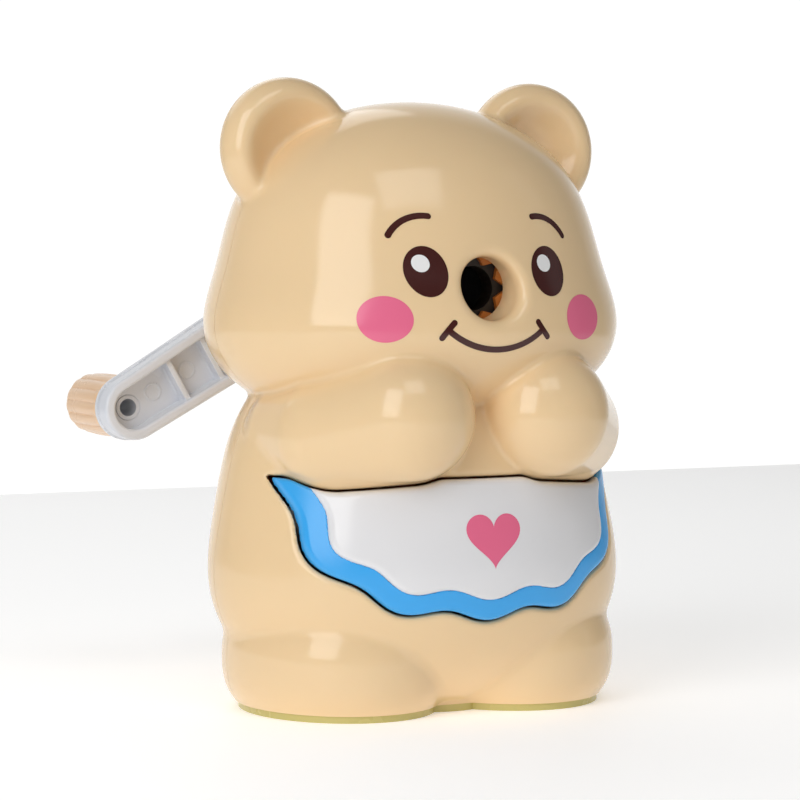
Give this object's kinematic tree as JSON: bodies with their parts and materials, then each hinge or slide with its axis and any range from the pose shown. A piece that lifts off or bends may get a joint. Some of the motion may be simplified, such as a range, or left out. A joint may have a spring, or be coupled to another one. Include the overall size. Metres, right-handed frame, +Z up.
{
  "type": "pencil sharpener",
  "caption": "Hand-crank pencil sharpener shaped as a seated bear: pencil goes in at the nose, a rear crank turns a helical cutter, shavings fall into an apron-fronted drawer.",
  "frame": {"origin": "centre of the base's underside, on the surface it stands on", "axes": "+Z up, the bear's face and the pencil hole look along -Y, the crank is at +Y, +X is the bear's left"},
  "size_m": [0.0923, 0.1067, 0.1234],
  "materials": {
    "cream_shell": "polished cream ABS",
    "base_yellow": "moulded olive-yellow plastic",
    "inner_plastic": "unpolished inner moulding",
    "apron_white": "polished white plastic",
    "hem_blue": "painted sky-blue band",
    "crank_white": "moulded white plastic",
    "knob_peach": "moulded peach plastic",
    "amber_plastic": "orange-brown plastic",
    "dark_plastic": "dark moulded plastic",
    "die_cast": "die-cast metal, satin",
    "steel": "turned steel",
    "bronze": "sintered bronze",
    "print_brown": "pad-printed dark brown ink",
    "print_pink": "pad-printed pink ink",
    "print_white": "pad-printed white ink"
  },
  "bodies": {
    "housing": {"front_shell": "cream_shell", "rear_shell": "cream_shell", "base_plate": "base_yellow", "drawer_shelf": "inner_plastic", "centring_collar": "amber_plastic", "pencil_guide": "dark_plastic", "mechanism_frame": "dark_plastic", "ring_gear": "inner_plastic", "rear_bush": "bronze", "shell_screws": "steel", "base_screws": "steel", "mechanism_screws": "steel"},
    "drawer": {"drawer_front": "apron_white", "apron_hem": "hem_blue", "drawer_bin": "apron_white"},
    "crank": {"cutter_carrier": "die_cast", "cutter_axle": "steel", "crank_shaft": "steel", "retaining_ring": "steel", "crank_arm": "crank_white", "crank_washer": "steel", "crank_screw": "steel", "knob_pin": "crank_white"},
    "cutter": {"helical_cutter": "steel", "cutter_pinion": "bronze"},
    "knob": {"knob": "knob_peach"}
  },
  "joints": [
    {"name": "drawer_slide", "type": "slide", "parent": "housing", "child": "drawer", "axis": [0, -1, 0], "range_m": [0, 0.042]},
    {"name": "crank_turn", "type": "hinge", "parent": "housing", "child": "crank", "pos_m": [0, 0.04, 0.0825], "axis": [0, 1, 0], "continuous": true},
    {"name": "cutter_spin", "type": "hinge", "parent": "crank", "child": "cutter", "pos_m": [0, -0.0198, 0.09185], "axis": [0, 0.9848, -0.1736], "continuous": true},
    {"name": "knob_spin", "type": "hinge", "parent": "crank", "child": "knob", "pos_m": [-0.04373, 0.0542, 0.05725], "axis": [0, 1, 0], "continuous": true}
  ],
  "couplings": [
    {"joint": "cutter_spin", "follows": "crank_turn", "ratio": -3.2}
  ]
}
